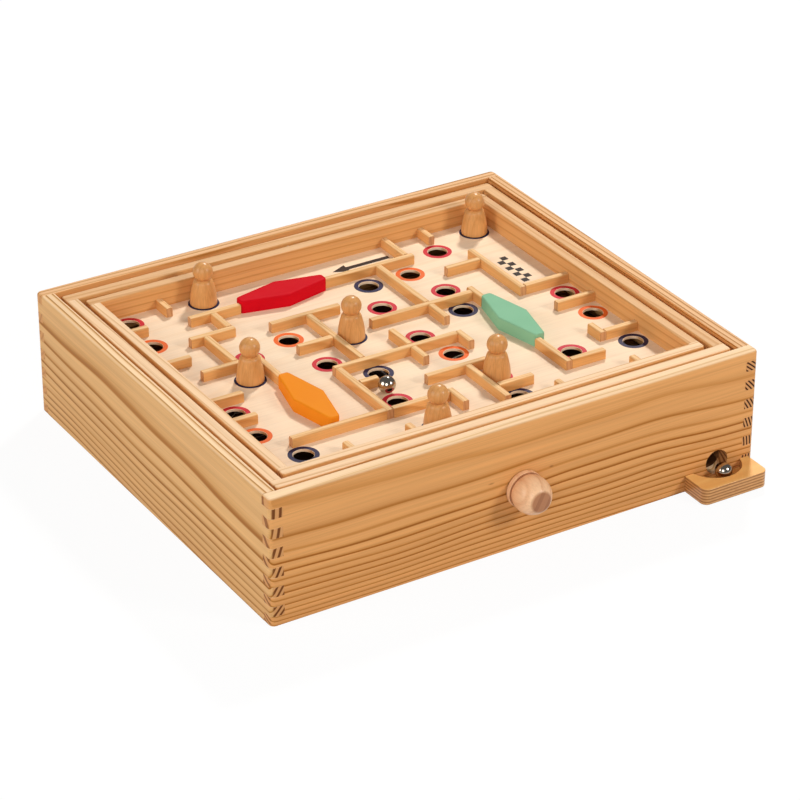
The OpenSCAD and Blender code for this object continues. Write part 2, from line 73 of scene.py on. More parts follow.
class Finish:
    """One material, with short calls that add and join its nodes."""

    def __init__(self, name):
        self.material = bpy.data.materials.new(name)
        self.material.use_nodes = True
        self.tree = self.material.node_tree
        self.shader = self.tree.nodes["Principled BSDF"]
        coordinates = self.tree.nodes.new("ShaderNodeTexCoord")
        self.place = coordinates.outputs["Object"]
        self.facing = coordinates.outputs["Normal"]

    def put(self, socket, value):
        if isinstance(value, bpy.types.NodeSocket):
            self.tree.links.new(value, socket)
        else:
            socket.default_value = value

    def add(self, kind, inputs, out=0, **settings):
        node = self.tree.nodes.new("ShaderNode" + kind)
        for key, value in settings.items():
            setattr(node, key, value)
        for key, value in inputs.items():
            self.put(node.inputs[key], value)
        return node.outputs[out]

    def math(self, operation, a, b=0.0, c=0.0):
        return self.add("Math", {0: a, 1: b, 2: c}, operation=operation)

    def span(self, value, low, high, to_low=0.0, to_high=1.0):
        return self.add("MapRange", {0: value, 1: low, 2: high, 3: to_low, 4: to_high})

    def mix(self, share, a, b, blend="MIX"):
        return self.add("Mix", {0: share, 6: a, 7: b}, out=2, data_type="RGBA", blend_type=blend)

    def apart(self, vector):
        return self.add("SeparateXYZ", {0: vector}).node.outputs

    def noise(self, scale, detail=2.0, out="Fac", start=(0.0, 0.0, 0.0)):
        """Noise with its own scale along each axis, per metre."""
        spread = self.add("Mapping", {"Vector": self.place, "Scale": scale, "Location": start})
        return self.add("TexNoise", {"Vector": spread, "Scale": 1.0, "Detail": detail}, out=out)

    def ramp(self, value, stops):
        result = self.add("ValToRGB", {0: value})
        band = result.node.color_ramp
        band.elements[0].position, band.elements[0].color = stops[0]
        band.elements[1].position, band.elements[1].color = stops[-1]
        for position, shade in stops[1:-1]:
            band.elements.new(position).color = shade
        return result

    def dye(self, share, tone, clear, deep):
        """Darkens a tone by a share of what turns clear into deep, so that half shares stay warm."""
        drop = [b / a for a, b in zip(clear[:3], deep[:3])]
        steps = [k / DYE_STEPS for k in range(DYE_STEPS + 1)]
        stops = [(step, tuple(d ** step for d in drop) + (1.0,)) for step in steps]
        return self.mix(1.0, tone, self.ramp(share, stops), blend="MULTIPLY")

    def surface(self, base, rough, bump=None, depth=0.0, **constants):
        self.put(self.shader.inputs["Base Color"], base)
        self.put(self.shader.inputs["Roughness"], rough)
        if bump is not None:
            self.put(self.shader.inputs["Normal"],
                     self.add("Bump", {"Strength": 1.0, "Distance": depth, "Height": bump}))
        for key, value in constants.items():
            self.put(self.shader.inputs[key.replace("_", " ")], value)
        return self.material


def grey(value):
    return (value, value, value, 1.0)


# How dark the wood is through one year's growth, on a face along the grain and on a cut end.
RING_STOPS = [(0.0, grey(0.3)), (0.04, grey(0.0)), (0.5, grey(0.02)), (0.74, grey(0.26)),
              (0.87, grey(0.9)), (0.95, grey(1.0)), (1.0, grey(0.3))]
CUT_STOPS = [(0.0, grey(0.1)), (0.04, grey(0.0)), (0.5, grey(0.0)), (0.62, grey(1.0)),
             (0.95, grey(1.0)), (1.0, grey(0.1))]
# Each kind of grain noise: its scale per metre along the grain and across it, and its detail.
DRIFT = (3.5, 10.0, 2.0)
FIBRES = (9.0, 1100.0, 3.0)
STREAKS = (4.0, 260.0, 3.0)
BROAD = (5.0, 22.0, 2.0)
# Ring numbers between which fine lines widen, and between which faint lines reach full depth.
FINE_RINGS = (1.0, 5.0)
FAINT_RINGS = (0.6, 1.8)
FAINT_SHARE = 0.4
# How squarely a face looks up where the painted light on its top begins and ends, and along the grain for a
# cut end.
LIT_TOP_FACING = (0.5, 0.92)
END_FACING = (0.75, 0.95)
END_SHARE = 0.8
KNOT_EDGE, KNOT_SHARE = (0.2, 1.0), 0.6
FIBRE_RELIEF, RING_RELIEF, GRAIN_DEPTH = 0.6, -0.4, 0.1 * MM
ROUGH_SPREAD = 0.06
PINE_PALE = colour(232, 170, 106)
PINE_LATE = colour(148, 84, 26)
PINE_END = colour(216, 158, 102)
PINE_END_LATE = colour(100, 54, 22)
BOLD = 0.8


def wood(name, length, pith, ring, early=PINE_PALE, late=PINE_LATE, end=PINE_END, end_late=PINE_END_LATE,
         lit_top=None, start=0.0, crowd=1.0, thin=1.0, lean=(0.0, 0.0), wander=3.0, seed=0.5, faint=0.3,
         strong=1.0, bold=(), knots=(), fibre=0.07, mottle=0.12, rough=0.5, sheen=0.12, **constants):
    """Solid wood: growth rings round a pith line along one axis, with fibres, and end grain across it.
    pith is where the line lies across the grain, in millimetres, and lean is its drift per unit length.
    The rings begin at the radius start, and crowd makes them narrower outwards. thin draws the lines of
    the widest rings finer. The top tone is painted light, a paler tone on faces that look up. bold names
    rings with an extra dark line, and knots are (along, up, half length, half height)."""
    finish = Finish(name)
    axis = "XYZ".index(length)
    across = [i for i in range(3) if i != axis]
    parts = finish.apart(finish.place)
    along = parts[axis]

    def grain_noise(lengthwise, crosswise, detail, out="Fac"):
        scale = [lengthwise if i == axis else crosswise for i in range(3)]
        return finish.noise(scale, detail, out, start=(seed, 2 * seed, 3 * seed))

    drift = finish.apart(grain_noise(*DRIFT, out="Color"))
    offsets = []
    for side, (i, middle) in enumerate(zip(across, pith)):
        place = finish.math("SUBTRACT", parts[i], middle * MM)
        place = finish.math("MULTIPLY_ADD", along, lean[side], place)
        stray = finish.span(drift[side], 0.2, 0.8, -wander * MM, wander * MM)
        offsets.append(finish.math("ADD", place, stray))
    from_pith = finish.add("CombineXYZ", {0: offsets[0], 1: offsets[1]})
    radius = finish.add("VectorMath", {0: from_pith}, out="Value", operation="LENGTH")
    grown = finish.math("MAXIMUM", finish.math("SUBTRACT", radius, start * MM), 0.0)
    count = finish.math("POWER", finish.math("DIVIDE", grown, ring * MM), crowd)
    number = finish.math("FLOOR", count)
    year = finish.add("TexWhiteNoise", {"W": finish.math("ADD", number, seed)}, out="Value",
                      noise_dimensions="1D")
    age = finish.math("FRACT", count)
    sharpened = finish.math("POWER", age, finish.span(count, *FINE_RINGS, thin, 1.0))
    late_line = finish.ramp(sharpened, RING_STOPS)
    depth = finish.math("MULTIPLY", finish.span(year, 0.0, 1.0, faint, strong),
                        finish.span(count, *FAINT_RINGS, FAINT_SHARE, 1.0))
    for n in bold:
        marked = finish.math("COMPARE", number, n, 0.5)
        depth = finish.math("MAXIMUM", depth, finish.math("MULTIPLY", marked, BOLD))
    dark = finish.math("MULTIPLY", late_line, depth)
    fine = grain_noise(*FIBRES)
    streak = grain_noise(*STREAKS)
    broad = grain_noise(*BROAD)
    facing = finish.apart(finish.facing)
    # Painted light: faces that look up take the paler top tone, as if lit from above.
    pale = finish.mix(finish.span(facing[2], *LIT_TOP_FACING), early, lit_top) if lit_top else early
    patchy = finish.math("MULTIPLY", dark, finish.span(broad, 0.3, 0.7, 0.75, 1.0))
    tone = finish.dye(patchy, pale, early, late)
    tone = finish.mix(finish.span(streak, 0.45, 0.75, 0.0, mottle), tone, late)
    tone = finish.mix(1.0, tone, finish.span(fine, 0.3, 0.7, 1.0 - fibre, 1.0 + fibre), blend="MULTIPLY")
    for at, up, half_length, half_height in knots:
        aside = finish.math("DIVIDE", finish.math("SUBTRACT", along, at * MM), half_length * MM)
        above = finish.math("DIVIDE", finish.math("SUBTRACT", parts[2], up * MM), half_height * MM)
        away = finish.add("VectorMath", {0: finish.add("CombineXYZ", {0: aside, 1: above})}, out="Value",
                          operation="LENGTH")
        tone = finish.mix(finish.span(away, *KNOT_EDGE, KNOT_SHARE, 0.0), tone, end_late)
    square_on = finish.math("ABSOLUTE", facing[axis])
    cut_depth = finish.math("MAXIMUM", depth, END_SHARE * strong)
    cut_line = finish.math("MULTIPLY", finish.ramp(age, CUT_STOPS), cut_depth)
    tone = finish.mix(finish.span(square_on, *END_FACING), tone, finish.dye(cut_line, end, end, end_late))
    relief = finish.math("MULTIPLY_ADD", fine, FIBRE_RELIEF, finish.math("MULTIPLY", dark, RING_RELIEF))
    worn = finish.span(fine, 0.2, 0.8, rough - ROUGH_SPREAD, rough + ROUGH_SPREAD)
    return finish.surface(tone, worn, relief, GRAIN_DEPTH, Specular_IOR_Level=sheen, **constants)


def solid_copy(node):
    """A welded copy of a CAD node's mesh, with its flat faces made whole."""
    bm = bmesh.new()
    bm.from_mesh(frame["nodes"][node].data)
    bmesh.ops.remove_doubles(bm, verts=bm.verts, dist=WELD)
    bmesh.ops.dissolve_limit(bm, angle_limit=FLAT_WITHIN, verts=bm.verts, edges=bm.edges)
    return bm


def ease(bm, width, segments=2, chosen=None):
    """Rounds the sharp edges of a mesh, or the chosen ones among them."""
    edges = [e for e in bm.edges if len(e.link_faces) == 2 and e.calc_face_angle(0.0) > SHARP]
    if chosen:
        edges = [e for e in edges if chosen(e)]
    bmesh.ops.bevel(bm, geom=edges, offset=width * MM, offset_type="OFFSET", affect="EDGES",
                    segments=segments, profile=0.5, material=-1, clamp_overlap=True)


def cut(bm, point, normal, keep_both=False):
    """Cuts a mesh by a plane, and leaves only the side that the normal points away from, or both."""
    bmesh.ops.bisect_plane(bm, geom=bm.verts[:] + bm.edges[:] + bm.faces[:], dist=CUT_WITHIN,
                           plane_co=point, plane_no=normal, clear_outer=not keep_both)


def finished(bm, name, slot, material, *nodes):
    """Makes the mesh an object with smooth shading, which stands for the CAD nodes that are named."""
    mesh = bpy.data.meshes.new(name)
    bm.to_mesh(mesh)
    bm.free()
    mesh.materials.append(material)
    mesh.polygons.foreach_set("use_smooth", [True] * len(mesh.polygons))
    mesh.set_sharp_from_angle(angle=SMOOTH_BELOW)
    piece = bpy.data.objects.new(name, mesh)
    bpy.context.scene.collection.objects.link(piece)
    even = piece.modifiers.new("even_shading", "WEIGHTED_NORMAL")
    even.keep_sharp = True
    if nodes:
        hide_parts(*nodes)
    return piece


def set_piece(bm, name, body, slot, material, *nodes):
    """A finished piece that rides on a body."""
    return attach(finished(bm, name, slot, material, *nodes), body)


def eased_node(node, suffix, body, slot, material, width, segments=2):
    """A CAD node's own shape with its sharp edges eased, as a finished piece."""
    bm = solid_copy(node)
    ease(bm, width, segments)
    return set_piece(bm, node + suffix, body, slot, material, node)


OUT_X, OUT_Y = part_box("box_front")[1].x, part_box("box_back")[1].y
IN_X, IN_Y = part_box("box_right")[0].x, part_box("box_back")[0].y
BOX_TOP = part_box("box_front")[1].z
NEAR = 0.05 * MM
# How far the middle of a rounded upright corner lies in from the outer faces, and a little more.
CORNER_INSET = 1.05 * MM


def at_top(edge):
    return all(v.co.z > BOX_TOP - NEAR for v in edge.verts)


def outer_rim(edge):
    return at_top(edge) and all(abs(v.co.x) > OUT_X - CORNER_INSET or abs(v.co.y) > OUT_Y - CORNER_INSET
                                for v in edge.verts)


def inner_rim(edge):
    return at_top(edge) and all(abs(v.co.x) < IN_X + NEAR and abs(v.co.y) < IN_Y + NEAR for v in edge.verts)


# Painted light on the box rims: the front and left tops are paler, as if in more light, and the back and
# right tops darker, as if in less.
RIM_TOP_LIT = colour(252, 218, 176)
RIM_TOP_SHADED = colour(238, 190, 142)
RIM_ROUND, RIM_STEPS = 2.1, 5
INNER_ROUND, INNER_STEPS = 0.9, 4
EDGE_SOFT = 0.2
box_woods = {
    "box_front": wood("pine_front", "X", (-198, 95), 25.0, lit_top=RIM_TOP_LIT, start=14, crowd=2.1,
                      lean=(0.0, 0.02), thin=1.6, end_late=colour(140, 86, 44), wander=5.5, seed=0.3,
                      faint=0.4, mottle=0.2, knots=((22, 53, 2.2, 1.2), (-24, 54, 3.0, 0.8))),
    "box_back": wood("pine_back", "X", (205, 100), 4.1, lit_top=RIM_TOP_SHADED, lean=(0.02, -0.02), wander=4,
                     seed=5.3, end_late=colour(196, 138, 86)),
    "box_left": wood("pine_left", "Y", (-282, 93), 5.7, early=colour(231, 183, 124), lit_top=RIM_TOP_LIT,
                     start=94.5, crowd=1.18, lean=(0.0, -0.035), wander=2.2, seed=2.7, faint=0.5,
                     bold=(0,), mottle=0.2),
    "box_right": wood("pine_right", "Y", (125, 20), 2.4, lit_top=RIM_TOP_SHADED, lean=(0.02, 0.0), wander=1.5,
                      seed=7.1, end_late=colour(54, 22, 6), faint=0.8),
}
for node, material in box_woods.items():
    board = solid_copy(node)
    for x in (-IN_X, IN_X):
        cut(board, (x, 0, 0), (1, 0, 0), keep_both=True)
    ease(board, RIM_ROUND, RIM_STEPS, outer_rim)
    ease(board, INNER_ROUND, INNER_STEPS, inner_rim)
    ease(board, EDGE_SOFT, segments=1)
    set_piece(board, node + "_board", "box", "pine", material, node)

# Base and ball return: a hardboard base panel in a rabbet, and a sloping hardboard ramp on two strips.
# A corner block of pine steers each dropped ball to the outlet. All are glued in before the frames go in.
SAWN_SOFT = 0.3


def pressed_fibre(name, tint):
    """Brown hardboard: felted fibres with a smooth, slightly burnished face."""
    finish = Finish(name)
    felt = finish.noise([420.0, 420.0, 900.0], detail=5.0)
    cloud = finish.noise([30.0, 30.0, 30.0])
    tone = finish.mix(finish.span(felt, 0.35, 0.65, 0.0, 0.35), tint, colour(70, 44, 26))
    tone = finish.mix(finish.span(cloud, 0.4, 0.7, 0.0, 0.2), tone, colour(128, 88, 54))
    return finish.surface(tone, finish.span(felt, 0.3, 0.7, 0.45, 0.65), felt, GRAIN_DEPTH,
                          Specular_IOR_Level=0.15)


hardboard = pressed_fibre("hardboard", colour(112, 74, 46))
for node in ("base_panel", "ball_ramp"):
    eased_node(node, "_sheet", "box", "hardboard", hardboard, SAWN_SOFT)
RAIL_PALE = colour(228, 172, 110)
RAIL_LATE = colour(178, 114, 54)
RAIL_END = colour(206, 150, 98)
RAIL_END_LATE = colour(140, 88, 48)
strip_wood = wood("pine_strip", "X", (40, -30), 3.5, RAIL_PALE, RAIL_LATE, RAIL_END, RAIL_END_LATE)
for node in ("ramp_wedges", "outlet_guide"):
    eased_node(node, "_block", "box", "pine_rail", strip_wood, SAWN_SOFT)

# Catch tray: a lacquered block of birch plywood glued to the front board under the outlet.
# A round pocket holds the ball, and the bare edges show the crossed plies.
CATCH_ROUND, PLIES, PLY_WAVE, PLY_RELIEF = 0.6, 11, 0.15, 0.06 * MM


def plywood(name, bottom, top, face, stain):
    """Birch plywood: a lacquered face veneer, and edges where dark and pale plies take turns."""
    finish = Finish(name)
    height = finish.apart(finish.place)["Z"]
    wave = finish.noise([60.0, 60.0, 8.0])
    height = finish.math("ADD", height, finish.span(wave, 0.0, 1.0, -PLY_WAVE * MM, PLY_WAVE * MM))
    layer = finish.span(height, bottom, top, 0.0, PLIES)
    turns = finish.math("PINGPONG", layer, 1.0)
    edge = finish.ramp(turns, [(0.0, colour(150, 92, 44)), (0.3, colour(184, 126, 70)),
                               (0.55, colour(216, 160, 100)), (1.0, colour(228, 176, 114))])
    specks = finish.noise([260.0, 260.0, 900.0], detail=4.0)
    edge = finish.mix(finish.span(specks, 0.4, 0.75, 0.0, 0.45), edge, colour(160, 106, 58))
    figure = finish.noise([14.0, 90.0, 90.0], detail=4.0)
    veneer = finish.mix(finish.span(figure, 0.35, 0.7), face, stain)
    up = finish.math("ABSOLUTE", finish.apart(finish.facing)["Z"])
    tone = finish.mix(finish.span(up, 0.6, 0.9), edge, veneer)
    return finish.surface(tone, 0.32, specks, PLY_RELIEF, Specular_IOR_Level=0.25,
                          Coat_Weight=0.2, Coat_Roughness=0.18)


catch_low, catch_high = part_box("catch_tray")
# The face veneer's colours are lifted as painted light, standing in for the light that the box shades off
# the tray's top.
lacquered_ply = plywood("birch_plywood", catch_low.z, catch_high.z, colour(255, 204, 126),
                        colour(244, 178, 100))
eased_node("catch_tray", "_block", "box", "birch_ply", lacquered_ply, CATCH_ROUND, segments=3)

# Pivot pins: four short steel pins, pressed into the outer piece and turning in the inner one.
# They bridge the gaps at the middle of each side, a little below the rims.
METAL_SOFT = 0.2


def steel(name, tint, shade, rough, marks):
    """Plain steel with fine drawn marks."""
    finish = Finish(name)
    lines = finish.noise(marks, detail=3.0)
    tone = finish.mix(finish.span(lines, 0.3, 0.7, 0.0, 0.25), tint, shade)
    return finish.surface(tone, finish.span(lines, 0.3, 0.7, rough - 0.05, rough + 0.08), Metallic=1.0)


pin_steel = steel("pin_steel", colour(214, 214, 216), colour(120, 120, 124), 0.3, [300.0, 300.0, 300.0])
for node, body in (("frame_pivot_pins", "box"), ("tray_pivot_pins", "outer_frame")):
    eased_node(node, "_steel", body, "steel", pin_steel, METAL_SOFT)

# Tilting frames: two nested frames of planed pine rails, butted and glued at the corners.
# The front and back rails run the full width, and the top edges were rounded over after gluing.
ROUND_OVER, CORNER_ROUND, ROUND_STEPS = 2.0, 2.2, 5
JOINT_LINE = 0.1 * MM
SLIVER = 0.001 * MM


def upright(edge):
    return abs(edge.verts[0].co.z - edge.verts[1].co.z) > NEAR


def raise_faces(bm, faces, height):
    """Extrudes flat faces straight up into a closed block."""
    raised = bmesh.ops.extrude_face_region(bm, geom=faces)["geom"]
    bmesh.ops.translate(bm, verts=[v for v in raised if isinstance(v, bmesh.types.BMVert)],
                        vec=(0, 0, height))
    bmesh.ops.recalc_face_normals(bm, faces=bm.faces)


def glued_frame(low, high, thick):
    """The four rails of a frame as one ring, with its top edges rounded over."""
    bm = bmesh.new()
    size = high - low
    foot = Vector(((low.x + high.x) / 2, (low.y + high.y) / 2, low.z))
    bmesh.ops.create_grid(bm, x_segments=1, y_segments=1, size=0.5,
                          matrix=Matrix.Translation(foot) @ Matrix.Diagonal((size.x, size.y, 1.0, 1.0)))
    opening = bm.faces[:]
    bmesh.ops.inset_region(bm, faces=opening, thickness=thick, use_boundary=True, use_even_offset=True)
    bmesh.ops.delete(bm, geom=opening, context="FACES_ONLY")
    raise_faces(bm, bm.faces[:], size.z)

    def outer_corner(edge):
        foot = edge.verts[0].co
        aside = min(foot.x - low.x, high.x - foot.x)
        ahead = min(foot.y - low.y, high.y - foot.y)
        return upright(edge) and aside < NEAR and ahead < NEAR

    ease(bm, CORNER_ROUND, ROUND_STEPS, outer_corner)
    ease(bm, ROUND_OVER, ROUND_STEPS, lambda edge: all(v.co.z > high.z - NEAR for v in edge.verts))
    return bm


rail_woods = {
    "frame_front": ("X", (-120, 40), 3.6), "frame_back": ("X", (110, 30), 4.2),
    "frame_left": ("Y", (-130, 45), 3.4), "frame_right": ("Y", (140, 30), 4.0),
    "tray_front": ("X", (-100, 60), 3.2), "tray_back": ("X", (100, 20), 5.0),
    "tray_left": ("Y", (-190, 50), 3.8), "tray_right": ("Y", (110, 40), 4.4),
}
# Painted light on the rail tops: the front and left rails take a paler tone, as if in more light, and the
# back and right rails a darker one.
RAIL_TOP_LIT = colour(248, 212, 172)
RAIL_TOP_SHADED = colour(230, 184, 136)
for group, body in (("frame", "outer_frame"), ("tray", "tray")):
    front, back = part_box(group + "_front"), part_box(group + "_back")
    whole = glued_frame(front[0], back[1], front[1].y - front[0].y)
    for side in ("front", "back", "left", "right"):
        rail = whole.copy()
        if side == "front":
            cut(rail, (0, front[1].y + JOINT_LINE, 0), (0, 1, 0))
        elif side == "back":
            cut(rail, (0, back[0].y - JOINT_LINE, 0), (0, -1, 0))
        else:
            cut(rail, (0, back[0].y - 2 * JOINT_LINE, 0), (0, 1, 0))
            cut(rail, (0, front[1].y + 2 * JOINT_LINE, 0), (0, -1, 0))
            cut(rail, (0, 0, 0), (1 if side == "left" else -1, 0, 0))
        bmesh.ops.holes_fill(rail, edges=[e for e in rail.edges if e.is_boundary], sides=0)
        bmesh.ops.dissolve_degenerate(rail, dist=SLIVER, edges=rail.edges)
        bmesh.ops.recalc_face_normals(rail, faces=rail.faces)
        node = f"{group}_{side}"
        length, pith, ring = rail_woods[node]
        lit_top = RAIL_TOP_LIT if side in ("front", "left") else RAIL_TOP_SHADED
        material = wood("pine_" + node, length, pith, ring, RAIL_PALE, RAIL_LATE, RAIL_END, RAIL_END_LATE,
                        lit_top, wander=2, lean=(0.02, 0.01), strong=0.55, seed=pith[0] / 10)
        set_piece(rail, node + "_rail", body, "pine_rail", material, node)
    whole.free()

# Maze board: pale birch plywood held in the tray rails' grooves, bored with ball holes.
# Coloured rings are printed round the holes in thin ink.
INK, INK_RELIEF = 0.05, 0.04 * MM
BOARD_SOFT = 0.15
BOARD_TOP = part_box("maze_board")[1].z
maze_ply = wood("maze_plywood", "X", (-60, -260), 6.0, colour(250, 224, 194), colour(242, 210, 174),
                colour(214, 168, 118), colour(170, 118, 72), wander=9, strong=0.6, mottle=0.3, fibre=0.04,
                rough=0.5)
eased_node("maze_board", "_ply", "tray", "maze_ply", maze_ply, BOARD_SOFT, segments=1)


def ink(name, tint, worn):
    """Printed ink that lets a little of the wood's fibre through."""
    finish = Finish(name)
    rub = finish.noise([160.0, 700.0, 300.0], detail=4.0)
    tone = finish.mix(finish.span(rub, 0.45, 0.8, 0.0, 0.45), tint, worn)
    return finish.surface(tone, finish.span(rub, 0.3, 0.7, 0.34, 0.5), rub, INK_RELIEF,
                          Specular_IOR_Level=0.2)


inks = {
    "red": ink("red_ink", colour(208, 36, 54), colour(218, 74, 84)),
    "orange": ink("orange_ink", colour(238, 104, 36), colour(242, 132, 66)),
    # The navy is partly its own dark ink and partly painted shade, made as dark as the rings lying in the
    # pawns' shade.
    "navy": ink("navy_ink", colour(34, 32, 70), colour(72, 70, 108)),
}
HOLE_INKS = ("red orange navy orange red red red navy red orange navy red red orange navy orange red "
             "navy red red orange red navy").split()
PAWN_INKS = "navy navy navy navy red navy".split()
RING_IN, RING_OUT, PAWN_RING_OUT, RING_STEPS = 7.2, 10.3, 10.9, 48


def turned(bm, profile, centre, axis, steps=64):
    """Spins a closed profile, given as points in space, a full turn round an axis."""
    verts = [bm.verts.new(p) for p in profile]
    edges = [bm.edges.new((a, b)) for a, b in zip(verts, verts[1:] + verts[:1])]
    bmesh.ops.spin(bm, geom=verts + edges, cent=centre, axis=axis, angle=math.tau, steps=steps,
                   use_merge=True)
    bmesh.ops.remove_doubles(bm, verts=bm.verts, dist=SLIVER)
    bmesh.ops.delete(bm, geom=[e for e in bm.edges if e.is_wire], context="EDGES")
    bmesh.ops.recalc_face_normals(bm, faces=bm.faces)


rings = {name: bmesh.new() for name in inks}
holes = [o["box_m"] for o in frame["record"]["physics"]["openings"] if o["name"].startswith("ball_hole")]
hole_spots = [(Vector(low) + Vector(high)) / 2 for low, high in holes]
pawn_spots = [sum(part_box(f"pawn_{i}"), Vector()) / 2 for i in range(1, len(PAWN_INKS) + 1)]
wides = [RING_OUT] * len(hole_spots) + [PAWN_RING_OUT] * len(pawn_spots)
for spot, name, wide in zip(hole_spots + pawn_spots, HOLE_INKS + PAWN_INKS, wides):
    base = Vector((spot.x, spot.y, BOARD_TOP))
    profile = [base + Vector((r * MM, 0, z * MM)) for r, z in
               ((RING_IN, 0), (wide, 0), (wide, INK), (RING_IN, INK))]
    turned(rings[name], profile, base, (0, 0, 1), RING_STEPS)
for name, bm in rings.items():
    set_piece(bm, name + "_rings", "tray", "maze_ply", inks[name])

# Signs: a printed arrow in the start lane and a printed chequer in the finish lane.
# Both are plain black ink on the bare board.
black_ink = ink("black_ink", colour(34, 26, 24), colour(80, 64, 56))


def printed(bm, outline):
    """A flat printed patch with the given corners, in millimetres on the board."""
    face = bm.faces.new([bm.verts.new((x * MM, y * MM, BOARD_TOP)) for x, y in outline])
    raise_faces(bm, [face], INK * MM)


ARROW_TAIL, ARROW_NECK, ARROW_TIP, ARROW_Y = 66, 32, 20, 112
SHAFT_HALF, HEAD_HALF = 2, 5.5
arrow = bmesh.new()
printed(arrow, [(ARROW_TAIL, ARROW_Y - SHAFT_HALF), (ARROW_TAIL, ARROW_Y + SHAFT_HALF),
                (ARROW_NECK, ARROW_Y + SHAFT_HALF), (ARROW_NECK, ARROW_Y + HEAD_HALF), (ARROW_TIP, ARROW_Y),
                (ARROW_NECK, ARROW_Y - HEAD_HALF), (ARROW_NECK, ARROW_Y - SHAFT_HALF)])
set_piece(arrow, "start_arrow", "tray", "maze_ply", black_ink)
CHECK, CHECK_ROWS, CHECK_X, CHECK_Y = 5, 8, 127, 30
chequer = bmesh.new()
for row in range(CHECK_ROWS):
    x = CHECK_X + CHECK * (row % 2)
    y = CHECK_Y + CHECK * row
    printed(chequer, [(x, y), (x + CHECK, y), (x + CHECK, y + CHECK), (x, y + CHECK)])
set_piece(chequer, "finish_chequer", "tray", "maze_ply", black_ink)

# Maze walls: narrow pine strips glued to the board, with rounded top edges and sawn ends.
# They run left to right or front to back, and butt against each other and the rails.
WALL_ROUND, WALL_SOFT = 1.3, 0.45


def wall_strip(low, high):
    """A wooden strip between two corners, with its long top edges rounded over."""
    bm = bmesh.new()
    size = high - low
    place = Matrix.Translation((low + high) / 2) @ Matrix.Diagonal((*size, 1.0))
    bmesh.ops.create_cube(bm, size=1.0, matrix=place)
    long_axis = 0 if size.x > size.y else 1

    def on_top(edge):
        a, b = (v.co for v in edge.verts)
        return min(a.z, b.z) > high.z - NEAR and abs(a[long_axis] - b[long_axis]) > NEAR

    ease(bm, WALL_ROUND, ROUND_STEPS, on_top)
    ease(bm, WALL_SOFT, chosen=lambda edge: max(v.co.z for v in edge.verts) > low.z + NEAR)
    return bm


def strips(node):
    """Lowest and highest corner of each separate strip in a CAD node."""
    bm = solid_copy(node)
    left = set(bm.verts)
    found = []
    while left:
        reached = [left.pop()]
        strip = list(reached)
        while reached:
            for edge in reached.pop().link_edges:
                for vert in edge.verts:
                    if vert in left:
                        left.discard(vert)
                        reached.append(vert)
                        strip.append(vert)
        corners = [[f(v.co[i] for v in strip) for i in range(3)] for f in (min, max)]
        found.append((Vector(corners[0]), Vector(corners[1])))
    bm.free()
    return sorted(found, key=lambda c: tuple(c[0]))


WALL_PALE = colour(228, 172, 108)
WALL_LATE = colour(186, 122, 62)
# Painted light on the walls: their tops take a paler tone, as if lit from above.
WALL_TOP_LIT = colour(244, 202, 148)
WALL_END = colour(206, 154, 108)
WALL_END_LATE = colour(182, 128, 84)
for node, length, pith in (("lengthwise_walls", "X", (-400, 20)), ("crosswise_walls", "Y", (-420, 10))):
    material = wood("pine_" + node, length, pith, 3.1, WALL_PALE, WALL_LATE, WALL_END, WALL_END_LATE,
                    WALL_TOP_LIT, wander=5, strong=0.6, lean=(0.04, 0.0), mottle=0.25)
    walls = bmesh.new()
    for low, high in strips(node):
        strip = wall_strip(low, high)
        joined = bpy.data.meshes.new("strip")
        strip.to_mesh(joined)
        strip.free()
        walls.from_mesh(joined)
        bpy.data.meshes.remove(joined)
    set_piece(walls, node + "_strips", "tray", "pine_rail", material, node)

# Lozenges: three painted hardwood blocks glued flat to the board in line with the walls.
# The paint is an even satin coat over rounded edges.
POINT_ROUND, TOP_ROUND, LOZENGE_STEPS = 2.0, 1.2, 4
PAINT_RELIEF = 0.05 * MM


def paint(name, tint, shade):
    """Satin paint over close-grained wood."""
    finish = Finish(name)
    grain = finish.noise([40.0, 40.0, 300.0], detail=4.0)
    cloud = finish.noise([55.0, 55.0, 55.0])
    tone = finish.mix(finish.span(cloud, 0.35, 0.7, 0.0, 0.22), tint, shade)
    return finish.surface(tone, finish.span(grain, 0.3, 0.7, 0.45, 0.6), grain, PAINT_RELIEF,
                          Specular_IOR_Level=0.05)


lozenges = {
    "red_lozenge": ("red_paint", colour(210, 10, 30), colour(192, 8, 24)),
    "orange_lozenge": ("orange_paint", colour(240, 144, 32), colour(234, 128, 22)),
    "green_lozenge": ("green_paint", colour(138, 192, 156), colour(124, 178, 142)),
}
for node, (slot, tint, shade) in lozenges.items():
    block = solid_copy(node)
    ease(block, POINT_ROUND, LOZENGE_STEPS, upright)
    ease(block, TOP_ROUND, LOZENGE_STEPS, lambda edge: min(v.co.z for v in edge.verts) > BOARD_TOP + NEAR)
    set_piece(block, node + "_block", "tray", slot, paint(slot, tint, shade), node)

# Pawns: six turned and varnished beech pawns, each with a spigot that plugs a ball hole.
# The body is a long curve up to a short neck, with a ball for the head. PAWN lists (radius, height).
BEECH = colour(218, 160, 98)
BEECH_LATE = colour(184, 118, 58)
FOOT_R, ARC_R, NECK_R, HEAD_R, HEAD_Z = 9.5, 56.0, 4.4, 7.0, 24.5
SPIGOT_R, HEAD_STEPS = 6.7, 16
BODY_HEIGHTS = (0.9, 3, 6, 9, 12, 14.5, 15.8)
SHOULDER = [(6.95, 16.9), (6.6, 17.6), (6.1, 18.2), (5.5, 18.65), (4.9, 18.95)]
foot_low, foot_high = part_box("pawn_1")
SPIGOT_Z = HEAD_Z + HEAD_R - (foot_high.z - foot_low.z) / MM
body_curve = [(FOOT_R - ARC_R + math.sqrt(ARC_R ** 2 - z ** 2), z) for z in BODY_HEIGHTS]
head_start = math.asin(NECK_R / HEAD_R)
